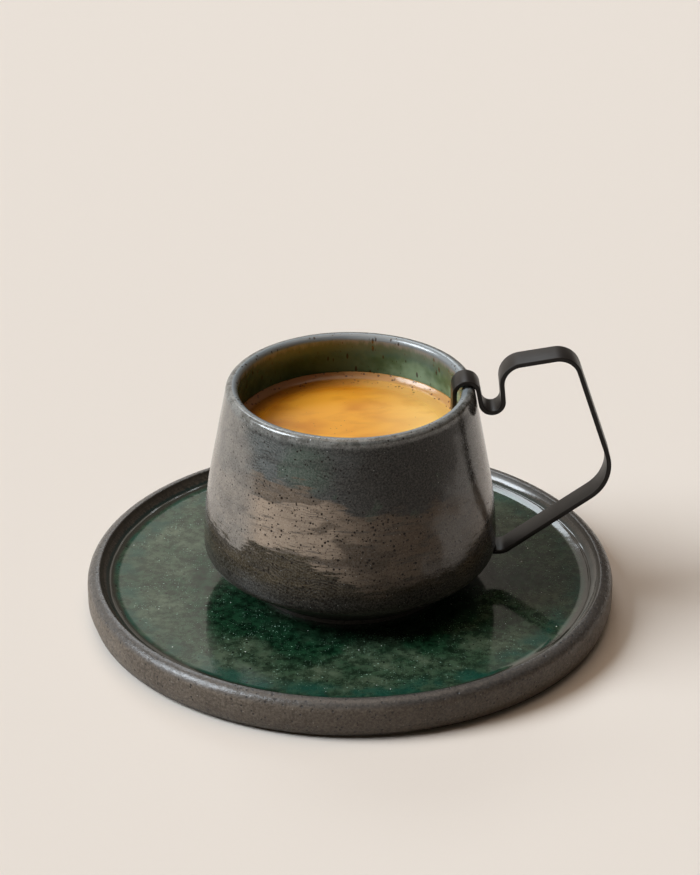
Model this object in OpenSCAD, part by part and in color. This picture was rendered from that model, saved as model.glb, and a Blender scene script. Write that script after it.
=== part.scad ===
// Stoneware cup with a folded strip handle hooked over its rim, filled with
// coffee and standing on a shallow glazed saucer.
// Millimetres, +Z up. The origin is the middle of the saucer's flat underside,
// and the handle points to +X. Cup, coffee and handle are drawn from the foot
// of the cup and then raised to the level of the saucer's glaze.

/* [Saucer] */
// Radius of the saucer at its widest
saucer_r = 65; // [60:0.5:72]
// Height of the saucer
saucer_h = 10.25; // [9.7:0.05:12]
// Width of the rim, from its outside to the crease at the edge of the well
rim_w = 5; // [4:0.1:7]
// Radius of the rounding over the outside of the rim
rim_round = 2.77; // [2:0.01:3.2]
// Radius of the rounding on the inside of the rim
rim_inner_round = 0.5; // [0.3:0.05:0.8]
// How far the flat underside stops short of the widest line
base_inset = 2.6; // [2:0.1:4]
// Radius of the rounding round the underside
base_round = 1.7; // [1:0.05:2]
// Height at which the side becomes upright
side_start = 3.85; // [3.2:0.05:5]
// Height of the clay floor under the well
clay_floor_h = 6.4; // [4:0.1:7]
// Thickness of the glaze that lies in the well
pool_t = 1.2; // [0.6:0.1:1.5]
// How far the glaze climbs at the edge of the well
pool_climb = 0.4; // [0.2:0.05:0.6]
// Width of the band in which the glaze climbs
pool_climb_w = 1; // [0.5:0.1:2]

/* [Cup] */
// Height of the cup from its foot to the crown of its rim
cup_h = 52.68; // [48:0.1:58]
// Radius of the cup at its widest
belly_r = 35.9; // [33:0.1:39]
// Height of the widest line above the foot
belly_h = 11.15; // [9.5:0.05:13]
// Radius of the upright curve of the wall above the widest line
wall_curve_r = 97.4; // [80:0.1:115]
// Lean of the straight upper wall from the upright, in degrees
wall_lean = 10.6; // [8:0.1:12]
// Thickness of the wall with its glaze
wall_t = 3.8; // [3.4:0.1:4.4]
// Thickness of the rim
lip_t = 3.04; // [2.7:0.02:3.4]
// Radius of the roundings of the rim
lip_round = 1.3; // [1:0.05:1.35]
// Depth of the thinner throat below the crown of the rim
throat_depth = 10; // [8:0.5:14]
// Radius of the upright curve of the wall inside
inner_curve_r = 60; // [45:1:75]
// Radius of the lower corner outside
corner_r = 3.8; // [3:0.1:4.5]
// Radius of the lower corner inside
inner_corner_r = 10; // [8:0.5:12]
// Height of the inside floor above the foot
cup_floor_h = 5.4; // [5:0.1:7]
// Outer radius of the foot ring
foot_r = 24.5; // [22:0.5:26]
// Width of the foot ring
foot_w = 4.5; // [3:0.5:6]
// Height of the foot ring on its outside
foot_h = 0.9; // [0.7:0.1:1.4]
// Height of the bare clay above the underside
bare_h = 0.2; // [0.1:0.05:1]
// Thickness of the glaze coats of the cup
coat_t = 0.4; // [0.3:0.05:0.6]

/* [Coffee] */
// Depth of the surface of the coffee below the crown of the rim
coffee_drop = 10.5; // [9.5:0.1:16]
// Thickness of the layer of foam
foam_t = 1.6; // [1:0.1:4]

/* [Handle] */
// Width of the strip
strip_w = 6.8; // [5:0.1:9]
// Thickness of the strip
strip_t = 1.1; // [0.9:0.05:1.3]
// Gap between the strip and the cup where they lie side by side
strip_gap = 0.25; // [0.25:0.05:0.4]
// Gap between the crown of the rim and the hook over it
hook_lift = 0.7; // [0.5:0.05:1.5]
// Bend radius of the hook, on the middle of the strip
hook_r = 2.9; // [2.7:0.05:3]
// Length of the leg inside the cup, below the top of the hook
hook_leg = 9.3; // [8:0.1:9.8]
// Depth of the trough beside the rim, below the top of the hook
trough_drop = 8.1; // [7:0.1:9]
// Bend radius of the trough
trough_r = 2.75; // [2.5:0.05:3.3]
// Lean of the riser after the trough, toward the cup, in degrees
riser_lean = 5.4; // [0:0.1:6.5]
// Rise from the top of the hook to the start of the top run
shoulder_rise = 3.8; // [3.5:0.05:6]
// Bend radius of the shoulder
shoulder_r = 5.15; // [4:0.05:5.4]
// Reach of the top run
top_run = 17.6; // [15:0.1:18]
// Climb of the top run, in degrees
top_climb = 9.2; // [5:0.1:11]
// Bend radius at the outer end of the top run
top_r = 5.3; // [3.5:0.1:5.8]
// Lean of the grip from the upright, in degrees
grip_lean = 18.3; // [15:0.1:18.8]
// Drop of the grip from the top run to the lower bend
grip_drop = 33.8; // [30:0.1:34.5]
// Bend radius below the grip
lower_r = 10; // [6:0.1:10.5]
// Drop of the handle's foot below the cup's widest line
heel_drop = 3.8; // [3:0.05:4]
// Length of the handle's foot to the bend before it
heel_run = 3.3; // [2.5:0.05:4]
// Bend radius before the handle's foot
heel_r = 3.9; // [3:0.1:5.5]

/* [Hidden] */
$fn = 96;

// One overrun for all cuts, and the hair by which a straight line stays inside
// a circle that it touches, so that the two cross.
over = 5;
hair = 0.001;

// Points and lines in the plane of a section.
function len2(v) = sqrt(v[0] * v[0] + v[1] * v[1]);
function unit(v) = v / len2(v);
function ray(a) = [cos(a), sin(a)];
function dot2(a, b) = a[0] * b[0] + a[1] * b[1];
function cross2(a, b) = a[0] * b[1] - a[1] * b[0];

// Direction of the line that starts at p and touches a circle on one side of it.
function touch_angle(p, c, r, side) =
    atan2(c[1] - p[1], c[0] - p[0]) + side * asin(r / len2(c - p));

// Point where that line touches the circle.
function touch_point(p, c, r, side) =
    p + ray(touch_angle(p, c, r, side)) * sqrt(dot2(c - p, c - p) - r * r);

// Point where two lines meet, each given by its normal and its distance.
function meet(n, d, m, e) =
    [d * m[1] - e * n[1], e * n[0] - d * m[0]] / cross2(n, m);

// Places on the saucer's section.
pool_h = clay_floor_h + pool_t;
well_r = saucer_r - rim_w;
crease = [well_r, pool_h + pool_climb];
base_flat_r = saucer_r - base_inset;
base_c = [base_flat_r, base_round];
rim_c = [saucer_r - rim_round, saucer_h - rim_round];
rim_inner_c = [saucer_r - rim_round, saucer_h - rim_inner_round];
side_p = [saucer_r, side_start];
side_touch = touch_point(side_p, base_c, base_round, 1);
rim_touch = touch_point(crease, rim_inner_c, rim_inner_round, 1);

// Fixed centres of the cup's section. Its surfaces are parallel to one another,
// so a coat of glaze only changes the radii round these centres.
level_n = [0, 1];
wall_n = ray(wall_lean);
wall_c = [belly_r - wall_curve_r, belly_h];
wall_d = dot2(wall_c, wall_n) + wall_curve_r;
inner_wall_d = wall_d - wall_t;
corner_c = [belly_r - corner_r, belly_h];
lip_h = cup_h - lip_round;
lip_c = meet(wall_n, wall_d - lip_round, level_n, lip_h);
lip_inner_c = [lip_c[0] + lip_round - lip_t + lip_round, lip_h];
inner_c_h = cup_floor_h + inner_corner_r;
inner_wall_c = meet(wall_n, inner_wall_d - inner_curve_r, level_n, inner_c_h);
inner_c = inner_wall_c + [inner_curve_r - inner_corner_r, 0];

// Slope of the underside, from the foot ring to the lower corner.
foot_p = [foot_r, foot_h];
under_a = touch_angle(foot_p, corner_c, corner_r, -1);
under_n = ray(under_a - 90);

// Slope of the throat, from the wall at its depth to the rounding of the rim.
throat_h = cup_h - throat_depth;
throat_p = meet(wall_n, inner_wall_d, level_n, throat_h);
throat_n = ray(touch_angle(throat_p, lip_inner_c, lip_round, 1) + 90);

// Points of the cup's section, at a depth t below the outer face of the glaze.
function wall_top(t) = wall_c + wall_n * (wall_curve_r - t);
function lip_touch(t) = lip_c + wall_n * (lip_round - t);
function lip_inner_touch(t) = lip_inner_c + throat_n * (lip_round - t);
function under_top(t) = corner_c + under_n * (corner_r - t);
function under_end(t) = meet(under_n, dot2(under_top(t), under_n), [1, 0], foot_r);
function inner_wall_top(t) = inner_wall_c + wall_n * (inner_curve_r + t);
function throat_foot(t, lip) = meet(wall_n, inner_wall_d + t, throat_n, dot2(lip, throat_n));

// Height of the clay's underside within the foot ring.
underside_h = under_end(coat_t + hair)[1];

// Heights of the coffee.
crema_top = cup_h - coffee_drop;
crema_foot = crema_top - foam_t;

// A rectangle between two opposite corners.
module block(from, to) {
    translate(from) square(to - from);
}

module disc(c, r) {
    translate(c) circle(r = r);
}

// The space that the cup's outside encloses, up to the rounding of the rim.
module outside(t) {
    end = under_end(t + hair);
    top = wall_top(t + hair);
    lip = lip_inner_touch(t + hair);
    polygon([
        [0, end[1]],
        end,
        under_top(t + hair),
        corner_c,
        top,
        lip_touch(t + hair),
        lip_c,
        lip_inner_c,
        lip,
        [0, lip[1]]
    ]);
    disc(corner_c, corner_r - t);
    intersection() {
        disc(wall_c, wall_curve_r - t);
        block([0, belly_h], [belly_r + over, top[1] + over]);
    }
}

// The space that holds the coffee, open at the top.
module inside(t) {
    top = inner_wall_top(t - hair);
    lip = lip_inner_touch(t + hair);
    polygon([
        [0, cup_floor_h - t],
        [inner_c[0], cup_floor_h - t],
        inner_c,
        top,
        throat_foot(t - hair, lip),
        lip,
        lip + [-over, over],
        [0, lip[1] + over]
    ]);
    disc(inner_c, inner_corner_r + t);
    intersection() {
        disc(inner_wall_c, inner_curve_r + t);
        block([0, inner_c_h], [belly_r + over, top[1] + over]);
    }
}

// Section of the cup's wall at a depth t below the face of the glaze.
module wall_section(t) {
    difference() {
        outside(t);
        inside(t);
    }
    disc(lip_c, lip_round - t);
    disc(lip_inner_c, lip_round - t);
    block([lip_inner_c[0], lip_h - lip_round + t], [lip_c[0], lip_h + lip_round - t]);
}

// Everything on the outer side of a line through the middle of the wall.
module outer_side() {
    mid_share = 0.5;
    mid_r = wall_curve_r - wall_t * mid_share;
    lip_mid = (lip_c[0] + lip_inner_c[0]) * mid_share;
    inner_mid = (inner_corner_r + dot2(under_top(0) - inner_c, under_n)) * mid_share;
    floor_mid = (cup_floor_h + underside_h) * mid_share;
    polygon([
        [lip_mid, cup_h + over],
        [lip_mid, lip_h],
        wall_c + wall_n * mid_r,
        wall_c + [mid_r, 0],
        inner_c + under_n * inner_mid,
        [inner_c[0], floor_mid],
        [0, floor_mid],
        [0, -over],
        [belly_r + over, -over],
        [belly_r + over, cup_h + over]
    ]);
}

module coat_section() {
    difference() {
        wall_section(0);
        wall_section(coat_t);
        block([0, -over], [belly_r + over, underside_h + bare_h]);
    }
}

// Middle line of the strip, from the leg in the cup to the foot below the belly.
// It is measured from the cup: the hook from its rim, the foot from its belly.
half_t = strip_t / 2;
strip_d = wall_d + strip_gap + half_t;
function beside_wall(z) = meet(wall_n, strip_d, level_n, z);
apex_h = cup_h + hook_lift + half_t;
trough_h = apex_h - trough_drop;
shoulder_h = apex_h + shoulder_rise;
wall_turn = 90 - wall_lean;
riser_turn = 90 + riser_lean;
heel_h = belly_h - heel_drop;
heel_reach = corner_r + strip_gap;
heel_below = belly_h - heel_h - half_t;

hook_out = beside_wall(apex_h);
hook_in = hook_out - [hook_r * (tan(45) + tan(wall_turn / 2)), 0];
leg_end = hook_in - [0, hook_leg];
trough_in = beside_wall(trough_h);
trough_out = trough_in + [trough_r * (tan(wall_turn / 2) + tan(riser_turn / 2)), 0];
shoulder = [trough_out[0] - (shoulder_h - trough_h) * tan(riser_lean), shoulder_h];
top_end = shoulder + top_run * [1, tan(top_climb)];
grip_end = top_end + grip_drop * [tan(grip_lean), -1];
tip = [corner_c[0] + sqrt(heel_reach * heel_reach - heel_below * heel_below), heel_h];
heel = tip + [heel_run, 0];

path = [leg_end, hook_in, hook_out, trough_in, trough_out, shoulder, top_end, grip_end, heel, tip];
bends = [0, hook_r, hook_r, trough_r, trough_r, shoulder_r, top_r, lower_r, heel_r, 0];
last = len(path) - 1;
bend_steps = 12;

function heading(i) = unit(path[i + 1] - path[i]);
function turn(i) = atan2(cross2(heading(i - 1), heading(i)), dot2(heading(i - 1), heading(i)));
function setback(i) = bends[i] * tan(abs(turn(i)) / 2);
function left_of(d) = [-d[1], d[0]];
function bend_c(i) = path[i] - heading(i - 1) * setback(i) + left_of(heading(i - 1)) * sign(turn(i)) * bends[i];
function bend_start(i) = atan2(heading(i - 1)[1], heading(i - 1)[0]) - sign(turn(i)) * 90;

// Points along one face of the strip, at a distance to the left of its middle.
function face(off) = [
    path[0] + left_of(heading(0)) * off,
    for (i = [1 : last - 1])
        for (k = [0 : bend_steps])
            bend_c(i) + ray(bend_start(i) + turn(i) * k / bend_steps) * (bends[i] - sign(turn(i)) * off),
    path[last] + left_of(heading(last - 1)) * off
];
function reversed(list) = [for (i = [len(list) - 1 : -1 : 0]) list[i]];

module saucer_body() {
    color("dimgray") rotate_extrude() {
        polygon([
            [0, 0],
            [base_flat_r, 0],
            base_c,
            side_touch,
            side_p,
            [saucer_r, rim_c[1]],
            rim_c,
            rim_inner_c,
            rim_touch,
            crease,
            [well_r, clay_floor_h],
            [0, clay_floor_h]
        ]);
        disc(base_c, base_round);
        disc(rim_inner_c, rim_inner_round);
        intersection() {
            disc(rim_c, rim_round);
            block(rim_c, [saucer_r + over, saucer_h + over]);
        }
    }
}

module saucer_glaze() {
    color("darkgreen") rotate_extrude() polygon([
        [0, clay_floor_h],
        [well_r, clay_floor_h],
        crease,
        [well_r - pool_climb_w, pool_h],
        [0, pool_h]
    ]);
}

module cup_body() {
    color("rosybrown") translate([0, 0, pool_h]) rotate_extrude() {
        wall_section(coat_t);
        block([foot_r - foot_w, 0], [foot_r, underside_h]);
    }
}

module cup_outer_glaze() {
    color("slategray") translate([0, 0, pool_h]) rotate_extrude() intersection() {
        coat_section();
        outer_side();
    }
}

module cup_inner_glaze() {
    color("olivedrab") translate([0, 0, pool_h]) rotate_extrude() difference() {
        coat_section();
        outer_side();
    }
}

module espresso() {
    color("saddlebrown") translate([0, 0, pool_h]) rotate_extrude() intersection() {
        inside(0);
        block([0, 0], [belly_r, crema_foot]);
    }
}

module crema() {
    color("goldenrod") translate([0, 0, pool_h]) rotate_extrude() intersection() {
        inside(0);
        block([0, crema_foot], [belly_r, crema_top]);
    }
}

module handle() {
    color([0.15, 0.15, 0.15]) translate([0, strip_w / 2, pool_h]) rotate([90, 0, 0])
        linear_extrude(height = strip_w) polygon(concat(face(half_t), reversed(face(-half_t))));
}

saucer_body();
saucer_glaze();
cup_body();
cup_outer_glaze();
cup_inner_glaze();
handle();
espresso();
crema();
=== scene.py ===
"""Looks of the stoneware cup, its saucer, the strip handle and the coffee, in metres."""

import math

import bmesh
import bpy
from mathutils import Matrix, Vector, noise


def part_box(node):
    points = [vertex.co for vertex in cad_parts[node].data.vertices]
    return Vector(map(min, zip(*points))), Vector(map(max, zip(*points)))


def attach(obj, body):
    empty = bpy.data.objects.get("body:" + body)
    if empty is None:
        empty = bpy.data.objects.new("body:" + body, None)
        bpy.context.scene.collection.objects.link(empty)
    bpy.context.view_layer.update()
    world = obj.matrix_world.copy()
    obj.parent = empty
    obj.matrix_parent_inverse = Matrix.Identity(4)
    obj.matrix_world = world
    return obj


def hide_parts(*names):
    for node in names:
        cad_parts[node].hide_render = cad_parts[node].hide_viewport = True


MM = 0.001
TURN = 2 * math.pi

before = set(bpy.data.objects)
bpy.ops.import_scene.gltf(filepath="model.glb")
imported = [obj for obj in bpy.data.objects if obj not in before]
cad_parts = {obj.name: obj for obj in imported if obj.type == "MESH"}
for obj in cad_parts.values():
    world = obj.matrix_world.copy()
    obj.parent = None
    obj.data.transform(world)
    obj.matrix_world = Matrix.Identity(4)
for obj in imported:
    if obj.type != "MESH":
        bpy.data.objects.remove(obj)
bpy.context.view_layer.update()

# Levels and radii that the CAD solids give.
SAUCER_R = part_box("saucer_body")[1].x
SAUCER_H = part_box("saucer_body")[1].z
CLAY_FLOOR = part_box("saucer_glaze")[0].z
WELL_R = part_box("saucer_glaze")[1].x
CREASE_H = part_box("saucer_glaze")[1].z
FOOT_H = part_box("cup_body")[0].z
CUP_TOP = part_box("cup_outer_glaze")[1].z
GLAZE_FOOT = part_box("cup_outer_glaze")[0].z
BELLY_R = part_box("cup_outer_glaze")[1].x
COFFEE_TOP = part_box("crema")[1].z
STRIP_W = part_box("handle")[1].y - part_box("handle")[0].y

# Sizes of the saucer's section.
POOL_H = CREASE_H - 0.4 * MM
RIM_ROUND = 2.77 * MM
RIM_INNER_ROUND = 0.5 * MM
BASE_INSET = 2.6 * MM
BASE_ROUND = 1.7 * MM
SIDE_START = 3.85 * MM
CLIMB_FROM = 56.9 * MM
CLIMB_TO = 59.8 * MM
CLIMB_RISE = 0.37 * MM
SLOPE_SAG = 0.22 * MM
COAT_T = 0.15 * MM

# Sizes of the cup's section.
BELLY_H = FOOT_H + 11.15 * MM
WALL_CURVE_R = 97.4 * MM
WALL_LEAN = math.radians(10.6)
WALL_T = 3.8 * MM
LIP_T = 3.04 * MM
LIP_ROUND = 1.3 * MM
THROAT_DEPTH = 10 * MM
INNER_CURVE_R = 60 * MM
CORNER_R = 3.8 * MM
INNER_CORNER_R = 10 * MM
CUP_FLOOR = FOOT_H + 5.4 * MM
FOOT_R = 24.5 * MM
FOOT_RISE = 0.9 * MM

# The coffee: how far it climbs the wall, how soon it is level, and the share of its top that is cut finely.
MENISCUS = 1.35 * MM
MENISCUS_W = 1.9 * MM
MENISCUS_BEND = 1.5
FOAM_LAP = 0.1 * MM
FOAM_EDGE_SHARE = 0.2

# Sizes of the handle's strip.
STRIP_T = 1.1 * MM
STRIP_GAP = 0.25 * MM
HOOK_LIFT = 0.7 * MM
HOOK_R = 2.9 * MM
HOOK_LEG = 9.3 * MM
TROUGH_DROP = 8.1 * MM
TROUGH_R = 2.75 * MM
RISER_LEAN = math.radians(5.4)
SHOULDER_RISE = 3.8 * MM
SHOULDER_R = 5.15 * MM
TOP_RUN = 17.6 * MM
TOP_CLIMB = math.radians(9.2)
TOP_R = 5.3 * MM
GRIP_LEAN = math.radians(18.3)
GRIP_DROP = 33.8 * MM
LOWER_R = 10 * MM
HEEL_DROP = 3.8 * MM
HEEL_RUN = 3.3 * MM
HEEL_R = 3.9 * MM
STRIP_EDGE = 0.22 * MM

# Unevenness of hand-made ware, and how finely the meshes are cut.
RIM_WAVE = 0.1 * MM
RIM_RISE = 0.09 * MM
RIM_RISE_FROM = 59 * MM
CREASE_REACH = 1.3 * MM
CREASE_SHIFT = 0.16 * MM
CREASE_WAVE = 0.2 * MM
CREASE_RIPPLE = 0.12 * MM
CREASE_RISE = 0.07 * MM
CUP_WAVE_FULL_H = 8 * MM
CUP_WAVE = 0.05 * MM
CUP_RIPPLE = 0.025 * MM
CUP_RISE = 0.05 * MM
FOAM_WAVE = 0.04 * MM
FOAM_RIPPLE = 0.07 * MM
ON_AXIS = 0.0001 * MM
SAME_POINT = 0.01 * MM
BEND_STEP = math.radians(5)
SAUCER_STEPS = 360
CUP_STEPS = 256

# Light: a soft window on the left, a warm ceiling, a small window behind, and a room pale on one side.
WINDOW_FROM = (-0.74, -0.07, 0.66)
WINDOW_ANGLE = 0.55
WINDOW_LEVEL = 3.2
WINDOW_COLOR = (0.92, 1.0, 1.075)
CEILING_FROM = (0, 0.12, 1)
CEILING_ANGLE = 0.9
CEILING_LEVEL = 0.56
CEILING_COLOR = (1.26, 1, 0.8)
BACK_AZIMUTH = math.radians(101)
BACK_ELEVATION = math.radians(40.5)
BACK_AWAY = 3
BACK_WIDE = 1.1
BACK_HIGH = 0.6
BACK_LEVEL = 5
BACK_COLOR = (0.9, 1, 1.08)
ROOM_GLOW = (0.07, 0.058, 0.046, 1)
ROOM_SEEN = (0.82, 0.75, 0.665, 1)
ROOM_DIM = (0.16, 0.14, 0.12, 1)
ROOM_PALE_SIDE = math.radians(177)
ROOM_BLEND = 0.07
FLOOR_HALF = 6
LAMP_AWAY = 2

# Glaze and clay, in millimetres: where a change begins and where it is full, by radius, height or x.
CLAY_CROWN = (8.0, 9.6)
# Painted shade near the cup's foot, by radius and height.
FOOT_SHADE_R = (32, 27)
FOOT_SHADE_H = (4, 6)
MILK_RISE = (30, 48)
MILK_VEIL = (38, 50)
MILK_FADE = (50, 56)
TEAL_RING = (50.5, 55)
DARK_RING = (57.6, 58.8)
CRYSTAL_RING = (57, 53)
SLOPE_RING = (59.5, 60.1)
SLOPE_TEAL = (8.15, 8.7)
SLOPE_DRY = (8.8, 9.4)
BLACK_BAND = (19, 25)
FOOT_SHEEN = (17, 26)
OLIVE_BAND = (28, 29.6)
SLATE_BAND = (44.3, 47)
LIP_TINT = (57.6, 59.2)
LIP_SHEEN = (57.8, 59)
# Sides of the cup, by x: a painted sheen at the left edge, painted light on the window side, fewer specks
# on the plain side, painted shade on the far side, and a painted reflection at the right edge.
PAINTED_SHEEN_EDGE = (-21, -27)
PAINTED_LIGHT_SIDE = (6, -20)
PLAIN_SIDE = (17, 28)
PAINTED_SHADE_SIDE = (16, 30)
PAINTED_REFLECTION_EDGE = (28, 34)
# Painted shade on the lining, by x.
LINING_PAINTED_SHADE_SIDE = (0, 15)
LINING_TEAL = (54, 56)
LINING_GLOSS = (54, 58.5)
LINING_SHEEN = (56, 59)
LINING_LIP = (57.4, 59.4)

# Foam, in the same way.
FOAM_WET = (19, 23.5)
FOAM_EDGE = (21, 24.5)
FOAM_SHADE = (22.5, 26.4)
BUBBLE_RING = (23, 25.5)
FOAM_RIM = (25.9, 26.7)
# Painted light and shade on the foam, by x.
FOAM_PAINTED_LIGHT_SIDE = (0, 22)
FOAM_EDGE_PAINTED_SIDES = (-10, 18)
FOAM_SHADE_SIDE = (-6, -20)
FOAM_DEPTH = 2 * MM

# Places on the front of the cup, in millimetres: x, y, z and reach. The glaze is combed or greenest there,
# painted shade makes it darkest there, or its bands run higher or lower.
COMBED_PLACES = ((-23, -21, 52, 10), (19, -25, 51, 9), (-14, -32, 25, 12), (24, -25, 25, 11))
PAINTED_SHADE_PLACES = ((11, -30, 53, 12),)
GREEN_PLACES = ((-12, -31, 53, 9),)
SLATE_LOW = ((10, -34, 45, 17), (27, -20, 44, 14))
SLATE_HIGH = ((-19, -28, 46, 13),)
OLIVE_LOW = ((12, -34, 25, 24),)
OLIVE_HIGH = ((-20, -29, 31, 13),)
PLACE_CORE_SHARE = 0.45

# The photograph's viewpoint.
FRAME_PX = 875
FOCAL_PX = 3300
SENSOR = 36
CAMERA_AT = (-0.02482, -0.71085, 0.41540)
CAMERA_PITCH = math.radians(27.46)
CAMERA_TURN = math.radians(-2)
CAMERA_NEAR = 0.01


# Plane geometry.

def ray(angle):
    return Vector((math.cos(angle), math.sin(angle)))


def left_of(d):
    return Vector((-d.y, d.x))


def cross(a, b):
    return a.x * b.y - a.y * b.x


def meet(n, d, m, e):
    """Where two lines meet, each given by its normal and its distance."""
    return Vector((d * m.y - e * n.y, e * n.x - d * m.x)) / cross(n, m)


def touch_angle(p, c, r, side):
    """Direction of the line from p that touches a circle on one side."""
    d = c - p
    return math.atan2(d.y, d.x) + side * math.asin(r / d.length)


def arc(c, r, start, stop, count):
    """Points on a circle from one angle to another, ends included."""
    return [c + ray(start + (stop - start) * i / count) * r for i in range(count + 1)]


def line(a, b, count):
    """Points between a and b, without the ends."""
    return [a.lerp(b, i / (count + 1)) for i in range(1, count + 1)]


# Meshes.

def plain_object(name, bm, material):
    """Turns a bmesh into an object with one material."""
    mesh = bpy.data.meshes.new(name)
    bm.to_mesh(mesh)
    bm.free()
    mesh.materials.append(material)
    o = bpy.data.objects.new(name, mesh)
    bpy.context.scene.collection.objects.link(o)
    return o


def new_object(name, bm, material, body, node):
    """Turns a bmesh into a smooth object that rides on a body and takes the place of a CAD node."""
    bmesh.ops.recalc_face_normals(bm, faces=bm.faces)
    o = plain_object(name, bm, material)
    for p in o.data.polygons:
        p.use_smooth = True
    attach(o, body)
    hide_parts(node)
    return o


def lathe(section, steps, wobble):
    """Turns a section round the Z axis, uneven by wobble. A point on the axis becomes one vertex."""
    bm = bmesh.new()
    rings = []
    for p in section:
        if p.x < ON_AXIS:
            rings.append([bm.verts.new((0, 0, p.y))])
            continue
        ring = []
        for k in range(steps):
            a = TURN * k / steps
            r, z = wobble(p.x, p.y, a)
            ring.append(bm.verts.new((r * math.cos(a), r * math.sin(a), z)))
        rings.append(ring)
    for a, b in zip(rings, rings[1:]):
        for k in range(steps):
            j = (k + 1) % steps
            quad = [a[k % len(a)], a[j % len(a)], b[j % len(b)], b[k % len(b)]]
            quad = list(dict.fromkeys(quad))
            if len(quad) > 2:
                bm.faces.new(quad)
    return bm


def ring_noise(angle, height, turns, seed):
    """Smooth noise round the axis, from -1 to 1, with a given number of bumps in a turn."""
    r = turns / TURN
    return noise.noise(Vector((math.cos(angle) * r + seed, math.sin(angle) * r, height)))


# Materials.

class Shader:
    """Short names for the nodes that the materials share. Lengths in the nodes are millimetres."""

    def __init__(self, name):
        self.material = bpy.data.materials.new(name)
        self.material.use_nodes = True
        self.tree = self.material.node_tree
        self.bsdf = self.tree.nodes["Principled BSDF"]
        coords = self.tree.nodes.new("ShaderNodeTexCoord").outputs["Object"]
        self.mm = self.vector("MULTIPLY", coords, (1 / MM, 1 / MM, 1 / MM))
        split = self.tree.nodes.new("ShaderNodeSeparateXYZ")
        self.link(self.mm, split.inputs[0])
        self.x, self.y, self.z = split.outputs

    def link(self, a, b):
        self.tree.links.new(a, b)

    def put(self, socket, value):
        if isinstance(value, bpy.types.NodeSocket):
            self.link(value, socket)
        else:
            socket.default_value = value

    def vector(self, operation, a, b, output=0):
        n = self.tree.nodes.new("ShaderNodeVectorMath")
        n.operation = operation
        self.put(n.inputs[0], a)
        self.put(n.inputs[1], b)
        return n.outputs[output]

    def math(self, operation, a, b=0.0):
        n = self.tree.nodes.new("ShaderNodeMath")
        n.operation = operation
        self.put(n.inputs[0], a)
        self.put(n.inputs[1], b)
        return n.outputs[0]

    def plus(self, a, b):
        return self.math("ADD", a, b)

    def minus(self, a, b):
        return self.math("SUBTRACT", a, b)

    def times(self, a, b):
        return self.math("MULTIPLY", a, b)

    def most(self, first, *others):
        """The largest of some values."""
        for other in others:
            first = self.math("MAXIMUM", first, other)
        return first

    def sway(self, field, amount):
        """Turns a noise into a shift to both sides, in all about amount from end to end."""
        return self.times(self.minus(field, 0.5), amount)

    def radius(self):
        """Distance from the axis."""
        return self.math("SQRT", self.plus(self.times(self.x, self.x), self.times(self.y, self.y)))

    def near(self, places):
        """How near a point is to any of some places, each given as x, y, z and its reach."""
        found = []
        for *at, reach in places:
            distance = self.vector("DISTANCE", self.mm, at, "Value")
            found.append(self.step(distance, reach, reach * PLACE_CORE_SHARE))
        return self.most(*found)

    def stretched(self, x, y, z, shift=(0, 0, 0)):
        return self.vector("ADD", self.vector("MULTIPLY", self.mm, (x, y, z)), shift)

    def noise(self, size, detail=3, rough=0.55, at=None, distort=0.0):
        """Cloud noise whose bumps are about size millimetres across."""
        n = self.tree.nodes.new("ShaderNodeTexNoise")
        self.link(at or self.mm, n.inputs["Vector"])
        n.inputs["Scale"].default_value = 1 / size
        n.inputs["Detail"].default_value = detail
        n.inputs["Roughness"].default_value = rough
        n.inputs["Distortion"].default_value = distort
        return n.outputs["Fac"]

    def cells(self, size, at=None):
        """Distance to the nearest scattered point in cell sizes, and two random values for each cell."""
        n = self.tree.nodes.new("ShaderNodeTexVoronoi")
        self.link(at or self.mm, n.inputs["Vector"])
        n.inputs["Scale"].default_value = 1 / size
        split = self.tree.nodes.new("ShaderNodeSeparateColor")
        self.link(n.outputs["Color"], split.inputs[0])
        return n.outputs["Distance"], split.outputs[0], split.outputs[1]

    def step(self, value, low, high, to_low=0.0, to_high=1.0):
        """A smooth step of value from low to high."""
        n = self.tree.nodes.new("ShaderNodeMapRange")
        n.interpolation_type = "SMOOTHSTEP"
        self.put(n.inputs["Value"], value)
        for name, v in (("From Min", low), ("From Max", high), ("To Min", to_low), ("To Max", to_high)):
            self.put(n.inputs[name], v)
        return n.outputs["Result"]

    def specks(self, size, least, most, share, soft=0.35, at=None):
        """Scattered spots in a share of the cells, from least to most across, as parts of a cell."""
        distance, chance, spread = self.cells(size, at)
        reach = self.step(spread, 0, 1, least, most)
        spot = self.step(self.math("DIVIDE", distance, reach), 1.0, 1.0 - soft)
        return self.times(spot, self.math("LESS_THAN", chance, share))

    def mix(self, a, b, by, amount=None):
        """From colour a to colour b by a mask, or by an amount of the mask."""
        n = self.tree.nodes.new("ShaderNodeMix")
        n.data_type = "RGBA"
        self.put(n.inputs[0], by if amount is None else self.times(by, amount))
        self.put(n.inputs[6], a if isinstance(a, bpy.types.NodeSocket) else (*a, 1))
        self.put(n.inputs[7], b if isinstance(b, bpy.types.NodeSocket) else (*b, 1))
        return n.outputs[2]

    def blend(self, a, b, by):
        """Between two numbers."""
        n = self.tree.nodes.new("ShaderNodeMix")
        self.put(n.inputs[0], by)
        self.put(n.inputs[2], a)
        self.put(n.inputs[3], b)
        return n.outputs[0]

    def bump(self, height, depth, normal=None):
        """Bump whose height runs over depth millimetres."""
        n = self.tree.nodes.new("ShaderNodeBump")
        n.inputs["Distance"].default_value = depth * MM
        n.inputs["Strength"].default_value = 1
        self.link(height, n.inputs["Height"])
        if normal:
            self.link(normal, n.inputs["Normal"])
        return n.outputs["Normal"]

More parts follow.
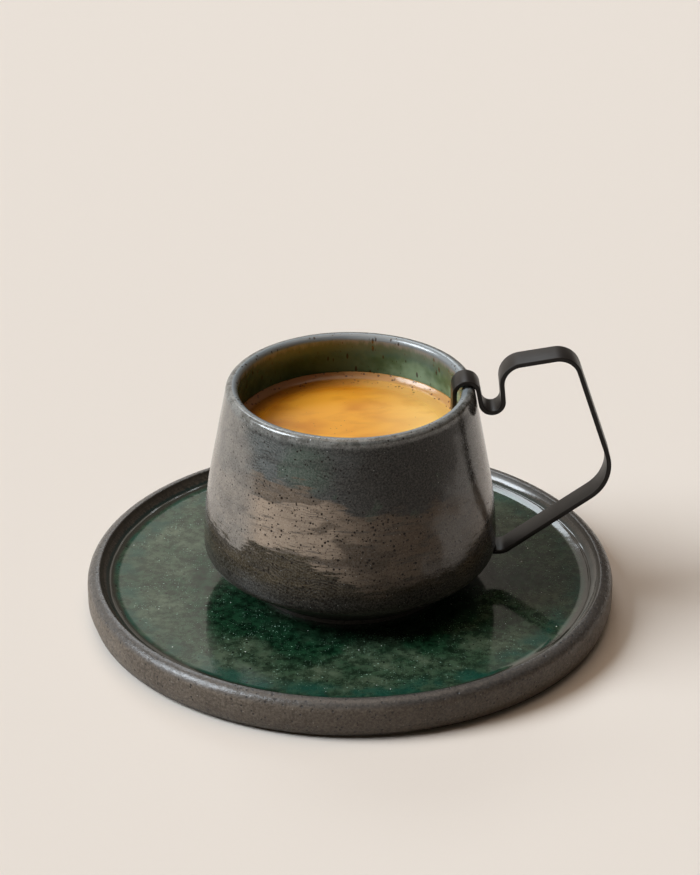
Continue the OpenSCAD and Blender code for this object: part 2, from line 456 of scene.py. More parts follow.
    def finish(self, color, rough, normal=None, **values):
        """Fills the shader's sockets. Others are given by their names, with a low line for a space."""
        self.put(self.bsdf.inputs["Base Color"], color)
        self.put(self.bsdf.inputs["Roughness"], rough)
        if normal:
            self.link(normal, self.bsdf.inputs["Normal"])
        for name, value in values.items():
            self.put(self.bsdf.inputs[name.replace("_", " ")], value)
        return self.material


def stoneware():
    """Brown-grey clay, satin where it was sponged, with iron specks and a few pale grains, and painted
    shade near the cup's foot.
    """
    s = Shader("stoneware")
    grain = s.noise(0.6, 4, 0.7)
    color = s.mix((0.088, 0.067, 0.049), (0.16, 0.128, 0.098), s.step(s.noise(14, 4), 0.3, 0.7))
    grains = s.mix((0.02, 0.014, 0.009), (0.25, 0.205, 0.16), s.step(grain, 0.36, 0.68))
    color = s.mix(color, grains, 0.5)
    dark = s.specks(1.15, 0.12, 0.32, 0.7)
    fine = s.specks(0.6, 0.1, 0.3, 0.5)
    pale = s.specks(1.0, 0.06, 0.15, 0.5)
    color = s.mix(color, (0.012, 0.007, 0.005), s.most(dark, s.times(fine, 0.65)))
    color = s.mix(color, (0.5, 0.46, 0.41), pale, 0.75)
    crown = s.step(s.z, *CLAY_CROWN)
    color = s.mix(color, s.mix(color, (0.045, 0.05, 0.055), 0.6), crown)
    # Painted shade: the clay near the cup's foot is darkened where the belly keeps the light off.
    foot = s.times(s.step(s.radius(), *FOOT_SHADE_R), s.step(s.z, *FOOT_SHADE_H))
    color = s.mix(color, (0.012, 0.01, 0.008), foot, 0.9)
    rough = s.step(s.noise(2.2, 3), 0.3, 0.7, 0.4, 0.52)
    rough = s.minus(rough, s.times(crown, 0.23))
    normal = s.bump(s.minus(s.times(grain, 0.8), dark), 0.11)
    normal = s.bump(s.noise(3.2, 2), 0.2, normal)
    return s.finish(color, rough, normal)


def well_pool(s, radius):
    """Colours of the pool: green glass, milky away from the middle, then a teal and a dark ring."""
    waver = s.minus(s.noise(9, 3), 0.5)
    ring = s.plus(radius, s.times(waver, 5))
    edge = s.plus(radius, s.times(waver, 1.6))
    cloud = s.noise(11, 3, 0.6)
    mottle = s.step(s.noise(2.4, 5, 0.72), 0.36, 0.64)
    color = s.mix((0.0015, 0.009, 0.004), (0.012, 0.05, 0.023), mottle)
    milk = s.mix((0.034, 0.057, 0.032), (0.108, 0.14, 0.09), mottle)
    thick = s.times(s.step(cloud, 0.42, 0.72), s.step(ring, *MILK_RISE, 0.25, 0.95))
    thick = s.times(thick, s.step(ring, *MILK_FADE, 1, 0.55))
    color = s.mix(color, milk, thick)
    color = s.mix(color, milk, s.step(ring, *MILK_VEIL), 0.3)
    teal = s.times(s.step(ring, *TEAL_RING), s.step(s.noise(6, 3), 0.38, 0.64, 0.1, 0.75))
    color = s.mix(color, (0.006, 0.06, 0.042), teal)
    return s.mix(color, (0.03, 0.029, 0.021), s.step(edge, *DARK_RING))


def well_specks(s, color, radius):
    """Pale crystals in patches, a few tiny white specks painted as glints, and dark dots."""
    crystals = s.specks(0.95, 0.1, 0.26, 0.55)
    dust = s.specks(0.5, 0.14, 0.36, 0.5)
    patches = s.step(s.noise(8, 3), 0.38, 0.6)
    pale = s.times(s.most(crystals, s.times(dust, 0.5)), patches)
    pale = s.times(pale, s.step(radius, *CRYSTAL_RING))
    color = s.mix(color, (0.3, 0.47, 0.36), pale, 0.62)
    # Painted glints: tiny near-white specks over the whole pool.
    color = s.mix(color, (0.8, 0.85, 0.8), s.specks(3.0, 0.03, 0.065, 0.6))
    return s.mix(color, (0.002, 0.003, 0.002), s.specks(2.0, 0.07, 0.18, 0.5))


def well_glaze():
    """The saucer's glaze: a glossy pool in the well, and a thin coat that runs down the rim's slope."""
    s = Shader("well_glaze")
    radius = s.radius()
    color = well_specks(s, well_pool(s, radius), radius)
    runs = s.noise(0.9, 3, 0.6, s.stretched(1, 1, 0.1))
    high = s.plus(s.z, s.sway(runs, 0.6))
    slope = s.mix((0.03, 0.026, 0.02), (0.062, 0.051, 0.039), s.step(runs, 0.36, 0.64))
    slope = s.mix((0.003, 0.018, 0.016), slope, s.step(high, *SLOPE_TEAL))
    on_slope = s.step(radius, *SLOPE_RING)
    color = s.mix(color, slope, on_slope)
    rough = s.blend(0.09, s.step(high, *SLOPE_DRY, 0.12, 0.5), on_slope)
    normal = s.bump(s.noise(4, 2), 0.03)
    normal = s.bump(s.noise(0.9, 2), 0.005, normal)
    return s.finish(color, rough, normal, IOR=1.6)


def combed(s, pitch, width, sway):
    """Thin lines side by side that wander up and down round the cup, as a comb or brush leaves them."""
    drift = s.plus(s.sway(s.noise(11, 2), sway), s.sway(s.noise(2.2, 2), 1.1))
    away = s.math("PINGPONG", s.plus(s.z, drift), pitch / 2)
    broken = s.step(s.noise(2.5, 3, 0.6, s.stretched(0.4, 0.4, 1, (0, 0, 17))), 0.4, 0.56)
    return s.times(s.step(away, width, width * 0.3), broken)


class CupFields:
    """Masks on the cup that its colours share: brush marks, bands, and the sides where light, shade, a
    sheen and a reflection are painted.
    """

    def __init__(self, s):
        self.cloud = s.noise(15, 3, 0.55)
        self.brushed = s.noise(3.0, 5, 0.65, s.stretched(0.14, 0.14, 1))
        self.scratch = s.noise(0.9, 4, 0.7, s.stretched(0.14, 0.14, 1))
        self.strokes = s.noise(1.5, 3, 0.6, s.stretched(0.12, 0.12, 1))
        self.grain = s.noise(0.42, 4, 0.75)
        where = s.noise(10, 2, 0.5, s.stretched(0.6, 0.6, 1, (40, 0, 0)))
        where = s.most(s.step(where, 0.56, 0.66), s.near(COMBED_PLACES))
        self.inked = s.times(combed(s, 0.95, 0.27, 11), where)
        self.find_bands(s)
        self.find_sides(s)

    def find_bands(self, s):
        """Heights with ragged edges, as masks from 0 below a band's lower edge to 1 above it."""
        drift = s.sway(self.cloud, 10)
        comb = s.plus(s.sway(self.brushed, 7), s.sway(self.scratch, 10))
        level = s.plus(s.z, s.plus(drift, comb))
        slate = s.minus(level, s.times(s.near(SLATE_HIGH), 2.5))
        slate = s.plus(slate, s.times(s.near(SLATE_LOW), 4))
        olive = s.minus(level, s.times(s.near(OLIVE_HIGH), 3.5))
        olive = s.plus(olive, s.times(s.near(OLIVE_LOW), 4.5))
        self.over_slate = s.step(slate, *SLATE_BAND)
        self.over_olive = s.step(olive, *OLIVE_BAND)
        self.over_black = s.step(s.plus(s.z, s.times(drift, 0.4)), *BLACK_BAND)

    def find_sides(self, s):
        # Sides where light and shade are painted: paler towards the window, darker away from it, with a
        # painted sheen at the left edge.
        shift = s.sway(self.cloud, 40)
        across = s.plus(s.x, shift)
        self.painted_window_light = s.step(across, *PAINTED_LIGHT_SIDE)
        self.painted_shade_side = s.step(across, *PAINTED_SHADE_SIDE)
        self.painted_sheen_edge = s.step(s.plus(s.x, s.times(shift, 0.15)), *PAINTED_SHEEN_EDGE)
        self.plain = s.most(self.over_slate, self.painted_sheen_edge, s.step(across, *PLAIN_SIDE))


def slate_color(s, f):
    """Blue-grey, green in places, with painted light on the window side and painted shade in a few dark
    patches.
    """
    # Painted light: the slate is paler on the window side.
    color = s.mix((0.032, 0.033, 0.032), (0.14, 0.155, 0.15), f.painted_window_light)
    green = s.most(s.step(s.noise(7, 2), 0.6, 0.7), s.near(GREEN_PLACES))
    # Painted shade: near-black patches on the front of the slate.
    color = s.mix(color, (0.017, 0.019, 0.017), s.near(PAINTED_SHADE_PLACES), 0.75)
    color = s.mix(color, (0.085, 0.135, 0.095), green, 0.7)
    color = s.mix(color, (0.026, 0.027, 0.026), s.step(f.brushed, 0.5, 0.64), 0.5)
    color = s.mix(color, (0.02, 0.02, 0.019), s.step(f.scratch, 0.52, 0.66), 0.45)
    return s.mix(color, (0.02, 0.02, 0.018), f.inked, 0.8)


def bronze_color(s, f):
    """Brown, with tan patches; painted light makes it palest on the window side and painted shade darker on
    the far side.
    """
    color = s.mix((0.1, 0.071, 0.048), (0.15, 0.107, 0.073), s.step(f.brushed, 0.4, 0.6))
    patch = s.noise(8, 3, 0.6, s.stretched(0.3, 0.3, 1, (0, 21, 0)))
    tan = s.times(s.step(patch, 0.485, 0.53), s.step(f.scratch, 0.36, 0.5, 0.35, 1))
    color = s.mix(color, (0.215, 0.157, 0.11), tan)
    # Painted light: the bronze is painted tan on the window side, most on the tan patches.
    pale = s.plus(s.times(tan, 0.66), 0.2)
    color = s.mix(color, (0.6, 0.45, 0.33), f.painted_window_light, pale)
    color = s.mix(color, (0.085, 0.078, 0.07), s.step(f.strokes, 0.56, 0.66), 0.6)
    # Painted shade: the bronze is darker on the side away from the window.
    color = s.mix(color, (0.075, 0.073, 0.067), f.painted_shade_side, 0.65)
    return s.mix(color, (0.03, 0.026, 0.022), f.inked, 0.5)


def cup_color(s, f):
    """The bands from the foot up, the lowest partly painted shade, a painted sheen on the left flank and a
    painted reflection on the right, the mottled lip, and a grain over all.
    """
    olive = s.mix((0.023, 0.0155, 0.006), (0.06, 0.042, 0.018), s.step(f.strokes, 0.4, 0.62))
    olive = s.mix(olive, (0.2, 0.15, 0.095), f.inked, 0.5)
    # Near black at the foot: partly the glaze's own dark, partly painted shade where the belly faces the
    # dark well.
    black = s.mix((0.007, 0.006, 0.005), (0.02, 0.017, 0.013), s.step(f.cloud, 0.4, 0.7))
    black = s.mix(black, (0.08, 0.06, 0.04), f.inked, 0.4)
    color = s.mix(bronze_color(s, f), slate_color(s, f), f.over_slate)
    # Painted sheen: a pale colour on the left edge where the glaze catches the window.
    satin = s.mix((0.19, 0.168, 0.145), (0.27, 0.236, 0.2), s.step(s.noise(5, 3), 0.4, 0.6))
    color = s.mix(color, satin, f.painted_sheen_edge, 0.85)
    # Painted reflection: the pale floor reflected on the right edge.
    color = s.mix(color, (0.3, 0.24, 0.19), s.step(s.x, *PAINTED_REFLECTION_EDGE), 0.8)
    color = s.mix(olive, color, f.over_olive)
    color = s.mix(black, color, f.over_black)
    lip = s.mix((0.07, 0.075, 0.068), (0.24, 0.25, 0.24), s.step(s.noise(2.2, 4, 0.65), 0.38, 0.6))
    color = s.mix(color, lip, s.step(s.z, *LIP_TINT), 0.85)
    grains = s.mix((0.003, 0.003, 0.003), (0.36, 0.33, 0.29), s.step(f.grain, 0.38, 0.68))
    return s.mix(color, grains, 0.25)


def cup_spots(s, f):
    """Iron specks, with more of them in the bronze."""
    fine = s.specks(0.55, 0.14, 0.36, 0.85)
    spots = s.most(s.specks(1.1, 0.11, 0.28, 0.95), s.times(fine, 0.65))
    more = s.specks(1.35, 0.12, 0.29, 0.95, 0.35, s.stretched(1, 1, 1, (5.3, 9.1, 2.7)))
    return s.most(spots, s.times(more, s.minus(1.0, f.plain)))


def cup_glaze():
    """Satin glaze in soft bands: slate, bronze with tan patches, olive, then near black, partly painted
    shade.
    """
    s = Shader("cup_glaze")
    f = CupFields(s)
    spots = cup_spots(s, f)
    color = s.mix(cup_color(s, f), (0.009, 0.004, 0.003), spots, 0.95)
    color = s.mix(color, (0.6, 0.6, 0.57), s.specks(1.4, 0.05, 0.1, 0.6), 0.85)
    lip = s.step(s.z, *LIP_SHEEN)
    rough = s.blend(0.15, 0.12, f.over_slate)
    rough = s.blend(0.32, rough, s.step(s.z, *FOOT_SHEEN))
    rough = s.blend(rough, 0.17, lip)
    relief = s.minus(s.times(f.strokes, 0.7), s.times(spots, 0.5))
    normal = s.bump(relief, 0.055)
    normal = s.bump(f.grain, 0.016, normal)
    normal = s.bump(s.noise(7, 2), 0.1, normal)
    glassy = s.most(s.times(f.over_slate, 0.25), f.painted_sheen_edge, f.painted_shade_side)
    glassy = s.most(s.times(glassy, f.over_olive), lip)
    gloss = s.plus(s.step(glassy, 0, 1, 0.18, 0.7), s.times(lip, 0.3))
    return s.finish(color, rough, normal, IOR=1.46, Specular_IOR_Level=gloss)


def lining_glaze():
    """Green glass, lavender grey at the rim, with brown specks that run down, and painted shade on the
    left, away from the window.
    """
    s = Shader("lining_glaze")
    streak = s.noise(1.6, 3, 0.6, s.stretched(1, 1, 0.25))
    fade = s.plus(s.z, s.sway(streak, 3))
    color = s.mix((0.055, 0.115, 0.06), (0.18, 0.3, 0.21), s.step(s.noise(8, 3), 0.35, 0.65))
    # Painted shade: the left of the lining is darkened where the rim keeps the window's light off.
    color = s.mix(s.mix(color, (0.012, 0.034, 0.013), 0.72), color, s.step(s.x, *LINING_PAINTED_SHADE_SIDE))
    color = s.mix(color, (0.03, 0.1, 0.085), s.step(fade, *LINING_TEAL), 0.75)
    color = s.mix(color, (0.2, 0.225, 0.235), s.step(fade, *LINING_LIP))
    run = s.specks(1.2, 0.12, 0.3, 0.65, 0.4, s.stretched(1, 1, 0.35))
    fine = s.specks(0.7, 0.1, 0.26, 0.4, 0.5, s.stretched(1, 1, 0.5))
    color = s.mix(color, (0.022, 0.01, 0.005), s.most(s.times(run, 0.92), s.times(fine, 0.65)))
    rough = s.step(s.z, *LINING_SHEEN, 0.14, 0.24)
    gloss = s.step(s.z, *LINING_GLOSS, 0.2, 0.9)
    return s.finish(color, rough, s.bump(s.noise(5, 2), 0.1), Specular_IOR_Level=gloss)


def powder_coat():
    """Black powder coat on steel: satin, finely pebbled, with a few pale dust marks."""
    s = Shader("powder_coat")
    cloud = s.noise(6, 3)
    color = s.mix((0.0095, 0.0075, 0.0065), (0.017, 0.0135, 0.012), cloud)
    color = s.mix(color, (0.16, 0.14, 0.13), s.specks(1.3, 0.03, 0.08, 0.3), 0.5)
    rough = s.step(cloud, 0.2, 0.8, 0.34, 0.44)
    normal = s.bump(s.noise(0.35, 2), 0.012)
    return s.finish(color, rough, normal, Specular_IOR_Level=0.22)


def foam_color(s, radius):
    """Golden swirls, painted paler on the right as painted light, with a browner rim that painted shadow
    makes darkest on the left.
    """
    swirl = s.noise(15, 2, 0.45, s.stretched(0.7, 1.4, 1), 0.5)
    veil = s.noise(5, 4, 0.6, s.stretched(0.5, 1.1, 1), 0.4)
    ring = s.plus(radius, s.sway(s.noise(6, 2), 3))
    color = s.mix((0.6, 0.195, 0.003), (0.84, 0.355, 0.022), s.step(swirl, 0.36, 0.62))
    # Painted light: paler foam on the right, where the window's light falls.
    color = s.mix(color, (1.0, 0.6, 0.17), s.step(s.x, *FOAM_PAINTED_LIGHT_SIDE), 0.8)
    color = s.mix(color, (0.5, 0.165, 0.01), s.step(veil, 0.48, 0.7), 0.3)
    # The edge ring is browner in its own colour; painted shade darkens it on the left and painted light
    # makes it paler on the right.
    edge = s.mix((0.45, 0.16, 0.02), (0.85, 0.45, 0.13), s.step(s.x, *FOAM_EDGE_PAINTED_SIDES))
    color = s.mix(color, edge, s.step(ring, *FOAM_EDGE), 0.75)
    # Painted shadow: the left lip's shadow on the foam near the wall.
    shade = s.times(s.step(radius, *FOAM_SHADE), s.step(s.x, *FOAM_SHADE_SIDE))
    color = s.mix(color, (0.16, 0.06, 0.012), shade, 0.8)
    return s.mix(color, (0.3, 0.13, 0.04), s.step(radius, *FOAM_RIM), 0.6)


def crema_foam():
    """Golden foam with a wet edge, bubbles along the wall and a few pores."""
    s = Shader("crema_foam")
    radius = s.radius()
    bubbles = s.times(s.specks(0.85, 0.16, 0.44, 0.55), s.step(radius, *BUBBLE_RING))
    pores = s.specks(1.3, 0.06, 0.15, 0.5)
    marks = s.most(s.times(bubbles, 0.9), s.times(pores, 0.6))
    color = s.mix(foam_color(s, radius), (0.09, 0.03, 0.008), marks)
    normal = s.bump(s.times(marks, -1), 0.07)
    normal = s.bump(s.noise(1.2, 2), 0.015, normal)
    rough = s.step(radius, *FOAM_WET, 0.5, 0.22)
    return s.finish(color, rough, normal, Subsurface_Weight=0.08, Subsurface_Scale=FOAM_DEPTH)


def liquid():
    """Dark coffee under the foam."""
    s = Shader("coffee")
    color = s.mix((0.012, 0.004, 0.002), (0.03, 0.011, 0.004), s.noise(12, 2))
    return s.finish(color, 0.05, IOR=1.33)


def plain_floor():
    """A plain pale ground. Light that it sends back to the object is kept low."""
    s = Shader("floor")
    seen = s.tree.nodes.new("ShaderNodeLightPath").outputs
    shown = s.most(seen["Is Camera Ray"], seen["Is Glossy Ray"], seen["Is Transmission Ray"])
    pale = s.mix((0.81, 0.737, 0.662), (0.822, 0.75, 0.674), s.noise(900, 2))
    color = s.mix((0.22, 0.192, 0.165), pale, shown)
    return s.finish(color, 0.8, s.bump(s.noise(1.5, 2), 0.02), Specular_IOR_Level=0.05)


# Saucer.

def rim_parts():
    """Centre of the rim's inner rounding, the angle at which it ends, that end, and the crease."""
    inner_c = Vector((SAUCER_R - RIM_ROUND, SAUCER_H - RIM_INNER_ROUND))
    crease = Vector((WELL_R, CREASE_H))
    slope_a = touch_angle(crease, inner_c, RIM_INNER_ROUND, 1) + math.pi / 2
    return inner_c, slope_a, inner_c + ray(slope_a) * RIM_INNER_ROUND, crease


def hollow(a, b, sag, count):
    """Points from a to b on a curve that sags below the straight line."""
    away = left_of((b - a).normalized())
    points = []
    for i in range(count + 1):
        t = i / count
        points.append(a.lerp(b, t) - away * sag * 4 * t * (1 - t))
    return points


def saucer_section():
    rim_c = Vector((SAUCER_R - RIM_ROUND, SAUCER_H - RIM_ROUND))
    base_c = Vector((SAUCER_R - BASE_INSET, BASE_ROUND))
    side = Vector((SAUCER_R, SIDE_START))
    inner_c, slope_a, slope_top, crease = rim_parts()
    side_a = touch_angle(side, base_c, BASE_ROUND, 1) + math.pi / 2
    points = [Vector((0, 0))]
    points += line(points[0], Vector((base_c.x, 0)), 6)
    points += arc(base_c, BASE_ROUND, -math.pi / 2, side_a - TURN, 8)
    points += line(points[-1], side, 2) + [side]
    points += line(side, Vector((SAUCER_R, rim_c.y)), 3)
    points += arc(rim_c, RIM_ROUND, 0, math.pi / 2, 14)
    points += arc(inner_c, RIM_INNER_ROUND, math.pi / 2, slope_a, 5)
    points += hollow(crease, slope_top, SLOPE_SAG + COAT_T, 8)[-2:0:-1]
    points += [Vector((WELL_R, CLAY_FLOOR)), Vector((0, CLAY_FLOOR))]
    return points


def saucer_wobble(r, z, a):
    """A hand-finished rim: it waves a tenth of a millimetre, and stays put underneath."""
    share = min(1, z / SAUCER_H) * min(1, r / WELL_R)
    r += ring_noise(a, 0, 9, 3.1) * RIM_WAVE * share
    if r > RIM_RISE_FROM:
        z += ring_noise(a, 2, 11, 7.7) * RIM_RISE * share
    return r, z


def glaze_section():
    """The pool in the well, its edge that climbs to the crease, and the coat on the rim's slope."""
    slope_top, crease = rim_parts()[2:]
    points = [Vector((0, POOL_H))]
    points += line(points[0], Vector((CLIMB_FROM, POOL_H)), 24)
    for i in range(25):
        t = i / 24
        across = CLIMB_FROM + (CLIMB_TO - CLIMB_FROM) * t
        points.append(Vector((across, POOL_H + CLIMB_RISE * t * t * (3 - 2 * t))))
    points += hollow(crease, slope_top, SLOPE_SAG, 12)
    return points


def glaze_wobble(r, z, a):
    """The glaze runs: its crease wanders and the slope is not quite even."""
    near = math.exp(-((r - WELL_R) / CREASE_REACH) ** 2)
    shift = CREASE_SHIFT + CREASE_WAVE * ring_noise(a, 1, 37, 5)
    shift += CREASE_RIPPLE * ring_noise(a, 4, 90, 2)
    r -= near * shift
    z += near * CREASE_RISE * ring_noise(a, 6, 70, 8)
    return saucer_wobble(r, z, a)


def make_saucer(clay, glaze):
    body = lathe(saucer_section(), SAUCER_STEPS, saucer_wobble)
    new_object("saucer_clay", body, clay, "saucer", "saucer_body")
    surface = lathe(glaze_section(), SAUCER_STEPS, glaze_wobble)
    new_object("well_glaze_pool", surface, glaze, "saucer", "saucer_glaze")


# Cup.

def cup_lines():
    """The centres and directions that the cup's section is built on."""
    wall_n = ray(WALL_LEAN)
    level_n = Vector((0, 1))
    wall_c = Vector((BELLY_R - WALL_CURVE_R, BELLY_H))
    wall_d = wall_c.dot(wall_n) + WALL_CURVE_R
    inner_d = wall_d - WALL_T
    lip_h = CUP_TOP - LIP_ROUND
    lip_c = meet(wall_n, wall_d - LIP_ROUND, level_n, lip_h)
    lip_inner_c = lip_c + Vector((2 * LIP_ROUND - LIP_T, 0))
    inner_h = CUP_FLOOR + INNER_CORNER_R
    inner_wall_c = meet(wall_n, inner_d - INNER_CURVE_R, level_n, inner_h)
    corner_c = Vector((BELLY_R - CORNER_R, BELLY_H))
    foot = Vector((FOOT_R, FOOT_H + FOOT_RISE))
    under_a = touch_angle(foot, corner_c, CORNER_R, -1) - math.pi / 2
    throat = meet(wall_n, inner_d, level_n, CUP_TOP - THROAT_DEPTH)
    throat_a = touch_angle(throat, lip_inner_c, LIP_ROUND, 1) + math.pi / 2
    return {
        "wall_n": wall_n, "wall_c": wall_c, "wall_d": wall_d, "level_n": level_n,
        "lip_c": lip_c, "lip_inner_c": lip_inner_c, "inner_wall_c": inner_wall_c,
        "corner_c": corner_c, "foot": foot, "under_a": under_a,
        "throat": throat, "throat_a": throat_a,
    }


def lip_middle(g):
    return Vector(((g["lip_c"].x + g["lip_inner_c"].x) / 2, CUP_TOP))


def outer_section(g):
    under_top = g["corner_c"] + ray(g["under_a"]) * CORNER_R
    slope = (under_top - g["foot"]).normalized()
    end = g["foot"] + slope * ((GLAZE_FOOT - g["foot"].y) / slope.y)
    points = [end]
    points += line(end, under_top, 10)
    points += arc(g["corner_c"], CORNER_R, g["under_a"], 0, 14)
    points += arc(g["wall_c"], WALL_CURVE_R, 0, WALL_LEAN, 24)[1:]
    points += line(points[-1], g["lip_c"] + g["wall_n"] * LIP_ROUND, 24)
    points += arc(g["lip_c"], LIP_ROUND, WALL_LEAN, math.pi / 2, 12)
    points.append(lip_middle(g))
    return points


def inner_section(g):
    points = [lip_middle(g)]
    points += arc(g["lip_inner_c"], LIP_ROUND, math.pi / 2, g["throat_a"], 12)
    points += line(points[-1], g["throat"], 12) + [g["throat"]]
    wall_end = g["inner_wall_c"] + g["wall_n"] * INNER_CURVE_R
    points += line(g["throat"], wall_end, 6)
    points += arc(g["inner_wall_c"], INNER_CURVE_R, WALL_LEAN, 0, 10)
    corner = Vector((g["inner_wall_c"].x + INNER_CURVE_R - INNER_CORNER_R, g["inner_wall_c"].y))
    points += arc(corner, INNER_CORNER_R, 0, -math.pi / 2, 12)[1:]
    points.append(Vector((0, CUP_FLOOR)))
    return points


def cup_wobble(r, z, a):
    """Slow throwing marks, too small to see from the side but enough to bend the reflections."""
    high = max(0.0, min(1.0, (z - FOOT_H) / CUP_WAVE_FULL_H))
    r += high * (CUP_WAVE * ring_noise(a, z * 120, 5, 1.3) + CUP_RIPPLE * ring_noise(a, z * 500, 9, 4.4))
    z += high * CUP_RISE * ring_noise(a, 0, 7, 9.2)
    return r, z


def make_cup(g, glaze, lining):
    outside = lathe(outer_section(g), CUP_STEPS, cup_wobble)
    new_object("cup_glaze_coat", outside, glaze, "cup", "cup_outer_glaze")
    inside = lathe(inner_section(g), CUP_STEPS, cup_wobble)
    new_object("cup_lining_coat", inside, lining, "cup", "cup_inner_glaze")


# Coffee.

def coffee_level(r, wall):
    """Height of the foam, which climbs the wall of the cup."""
    near = max(0, 1 - (wall - r) / MENISCUS_W)
    return COFFEE_TOP - MENISCUS + (MENISCUS + FOAM_LAP) * near ** MENISCUS_BEND


def make_coffee(foam):
    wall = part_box("crema")[1].x
    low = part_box("crema")[0].z
    top = COFFEE_TOP + FOAM_LAP
    rim = wall - (top - low) * math.tan(WALL_LEAN)
    edge_from = 1 - FOAM_EDGE_SHARE
    shares = [i / 30 * edge_from for i in range(31)]
    shares += [edge_from + i / 30 * FOAM_EDGE_SHARE for i in range(1, 31)]
    points = [Vector((rim * t, coffee_level(rim * t, rim))) for t in shares]
    points += [Vector((wall, low)), Vector((0, low))]

    def ripple(r, z, a):
        if z < low + SAME_POINT:
            return r, z
        at = Vector((math.cos(a), math.sin(a), 0)) * r
        edge = min(1, max(0, (r - edge_from * rim) / (FOAM_EDGE_SHARE * rim)))
        z += FOAM_WAVE * noise.noise(at * 180) + FOAM_RIPPLE * edge * noise.noise(at * 700)
        return r, z

    new_object("crema_surface", lathe(points, CUP_STEPS, ripple), foam, "cup", "crema")


# Handle.

def strip_path(g):
    """Corners of the strip's middle line, each with its bend radius."""
    half = STRIP_T / 2
    beside = g["wall_d"] + STRIP_GAP + half
    apex = CUP_TOP + HOOK_LIFT + half
    trough = apex - TROUGH_DROP
    wall_turn = math.tan((math.pi / 2 - WALL_LEAN) / 2)
    riser_turn = math.tan((math.pi / 2 + RISER_LEAN) / 2)
    hook_out = meet(g["wall_n"], beside, g["level_n"], apex)
    hook_in = hook_out - Vector((HOOK_R * (1 + wall_turn), 0))
    leg_end = hook_in - Vector((0, HOOK_LEG))
    trough_in = meet(g["wall_n"], beside, g["level_n"], trough)
    trough_out = trough_in + Vector((TROUGH_R * (wall_turn + riser_turn), 0))
    shoulder_h = apex + SHOULDER_RISE
    shoulder = Vector((trough_out.x - (shoulder_h - trough) * math.tan(RISER_LEAN), shoulder_h))
    top_end = shoulder + Vector((1, math.tan(TOP_CLIMB))) * TOP_RUN
    grip_end = top_end + Vector((math.tan(GRIP_LEAN), -1)) * GRIP_DROP
    heel_h = BELLY_H - HEEL_DROP
    reach = CORNER_R + STRIP_GAP
    below = BELLY_H - heel_h - half
    tip = Vector((g["corner_c"].x + math.sqrt(reach ** 2 - below ** 2), heel_h))
    heel = tip + Vector((HEEL_RUN, 0))
    return [
        (leg_end, 0), (hook_in, HOOK_R), (hook_out, HOOK_R),
        (trough_in, TROUGH_R), (trough_out, TROUGH_R), (shoulder, SHOULDER_R),
        (top_end, TOP_R), (grip_end, LOWER_R), (heel, HEEL_R), (tip, 0),
    ]


def centre_line(path):
    """Points and directions along the strip's middle, with round bends."""
    heads = [(b[0] - a[0]).normalized() for a, b in zip(path, path[1:])]
    out = [(path[0][0], heads[0])]
    for i in range(1, len(path) - 1):
        corner, r = path[i]
        d, e = heads[i - 1], heads[i]
        turn = math.atan2(cross(d, e), d.dot(e))
        side = math.copysign(1, turn)
        c = corner - d * r * math.tan(abs(turn) / 2) + left_of(d) * side * r
        start = math.atan2(d.y, d.x) - side * math.pi / 2
        count = max(6, round(abs(turn) / BEND_STEP))
        for k in range(count + 1):
            a = start + turn * k / count
            out.append((c + ray(a) * r, left_of(ray(a)) * side))
    out.append((path[-1][0], heads[-1]))
    kept = [out[0]]
    for p in out[1:]:
        if (p[0] - kept[-1][0]).length > SAME_POINT:
            kept.append(p)
    return kept


def strip_profile():
    """The strip's cross section with rounded edges: across its width, and through its thickness."""
    w = STRIP_W / 2 - STRIP_EDGE
    t = STRIP_T / 2 - STRIP_EDGE
    points = []
    for quarter, corner in enumerate(((w, t), (-w, t), (-w, -t), (w, -t))):
        start = quarter * math.pi / 2
        points += arc(Vector(corner), STRIP_EDGE, start, start + math.pi / 2, 4)
    return points


def make_handle(g, coat):
    bm = bmesh.new()
    profile = strip_profile()
    rings = []
    for p, d in centre_line(strip_path(g)):
        n = left_of(d)
        ring = []
        for q in profile:
            flat = p + n * q.y
            ring.append(bm.verts.new((flat.x, q.x, flat.y)))
        rings.append(ring)
    count = len(profile)
    for a, b in zip(rings, rings[1:]):
        for k in range(count):
            j = (k + 1) % count
            bm.faces.new([a[k], a[j], b[j], b[k]])
    bm.faces.new(rings[0])
    bm.faces.new(rings[-1][::-1])
    o = new_object("handle_strip", bm, coat, "handle", "handle")
    for p in o.data.polygons:
        p.use_smooth = len(p.vertices) == 4


# Stage, light and camera.

def make_floor(material):
    bm = bmesh.new()
    bmesh.ops.create_grid(bm, x_segments=2, y_segments=2, size=FLOOR_HALF)
    plain_object("floor", bm, material)


def add_light(name, kind, direction, distance):
    """A light that faces the cup from a direction. It is seen in the gloss, not by the camera."""
    light = bpy.data.lights.new(name, kind)
    o = bpy.data.objects.new(name, light)
    at = Vector(direction).normalized()
    o.location = Vector((0, 0, CUP_TOP / 2)) + at * distance
    o.rotation_euler = (-at).to_track_quat("-Z", "Y").to_euler()
    o.visible_camera = False
    bpy.context.scene.collection.objects.link(o)
    return light


def world_mix(tree, a, b, by):
    """Mixes two colours of the world."""
    n = tree.nodes.new("ShaderNodeMix")
    n.data_type = "RGBA"
    tree.links.new(by, n.inputs[0])
    for socket, value in ((n.inputs[6], a), (n.inputs[7], b)):
        if isinstance(value, bpy.types.NodeSocket):
            tree.links.new(value, socket)
        else:
            socket.default_value = value
    return n.outputs[2]


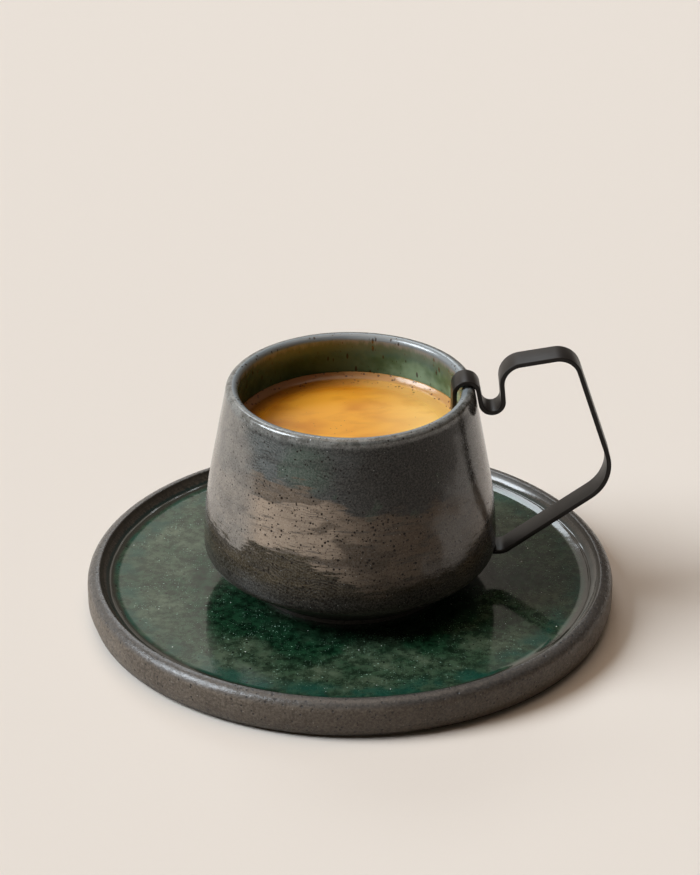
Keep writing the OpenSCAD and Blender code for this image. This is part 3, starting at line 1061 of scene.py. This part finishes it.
def make_room():
    """A world as pale as the ground to the camera, half pale, half dim in gloss, with little light."""
    world = bpy.data.worlds.new("studio")
    world.use_nodes = True
    tree = world.node_tree
    seen = tree.nodes.new("ShaderNodeLightPath").outputs
    side = tree.nodes.new("ShaderNodeVectorMath")
    side.operation = "DOT_PRODUCT"
    direction = tree.nodes.new("ShaderNodeTexCoord").outputs["Generated"]
    tree.links.new(direction, side.inputs[0])
    side.inputs[1].default_value = (math.cos(ROOM_PALE_SIDE), math.sin(ROOM_PALE_SIDE), 0)
    turn = tree.nodes.new("ShaderNodeMapRange")
    turn.interpolation_type = "SMOOTHSTEP"
    tree.links.new(side.outputs["Value"], turn.inputs["Value"])
    turn.inputs["From Min"].default_value = -ROOM_BLEND
    turn.inputs["From Max"].default_value = ROOM_BLEND
    gloss = world_mix(tree, ROOM_DIM, ROOM_SEEN, turn.outputs["Result"])
    color = world_mix(tree, ROOM_GLOW, gloss, seen["Is Glossy Ray"])
    color = world_mix(tree, color, ROOM_SEEN, seen["Is Transmission Ray"])
    color = world_mix(tree, color, ROOM_SEEN, seen["Is Camera Ray"])
    tree.links.new(color, tree.nodes["Background"].inputs["Color"])
    bpy.context.scene.world = world


def soft_sun(name, direction, angle, level, color):
    """Even light from a wide round patch of the sky."""
    sun = add_light(name, "SUN", direction, LAMP_AWAY)
    sun.angle = angle
    sun.energy = level
    sun.color = color


def make_light():
    soft_sun("window", WINDOW_FROM, WINDOW_ANGLE, WINDOW_LEVEL, WINDOW_COLOR)
    soft_sun("ceiling", CEILING_FROM, CEILING_ANGLE, CEILING_LEVEL, CEILING_COLOR)
    level = math.cos(BACK_ELEVATION)
    toward = (math.cos(BACK_AZIMUTH) * level, math.sin(BACK_AZIMUTH) * level, math.sin(BACK_ELEVATION))
    back = add_light("back_window", "AREA", toward, BACK_AWAY)
    back.shape = "RECTANGLE"
    back.size = BACK_WIDE
    back.size_y = BACK_HIGH
    back.energy = BACK_LEVEL * math.pi * BACK_WIDE * BACK_HIGH
    back.color = BACK_COLOR


def make_camera():
    data = bpy.data.cameras.new("camera")
    data.sensor_width = SENSOR
    data.lens = SENSOR * FOCAL_PX / FRAME_PX
    data.clip_start = CAMERA_NEAR
    o = bpy.data.objects.new("camera", data)
    o.location = CAMERA_AT
    o.rotation_euler = (math.pi / 2 - CAMERA_PITCH, 0, CAMERA_TURN)
    bpy.context.scene.collection.objects.link(o)
    bpy.context.scene.camera = o


def dress_node(node, material):
    """Gives a CAD solid that stays a finished material."""
    o = bpy.data.objects[node]
    o.data.materials.clear()
    o.data.materials.append(material)


bpy.context.scene.view_settings.view_transform = "Standard"
make_camera()
make_floor(plain_floor())
make_room()
make_light()

clay = stoneware()
section = cup_lines()
make_saucer(clay, well_glaze())
make_cup(section, cup_glaze(), lining_glaze())
make_coffee(crema_foam())
make_handle(section, powder_coat())
dress_node("cup_body", clay)
dress_node("espresso", liquid())
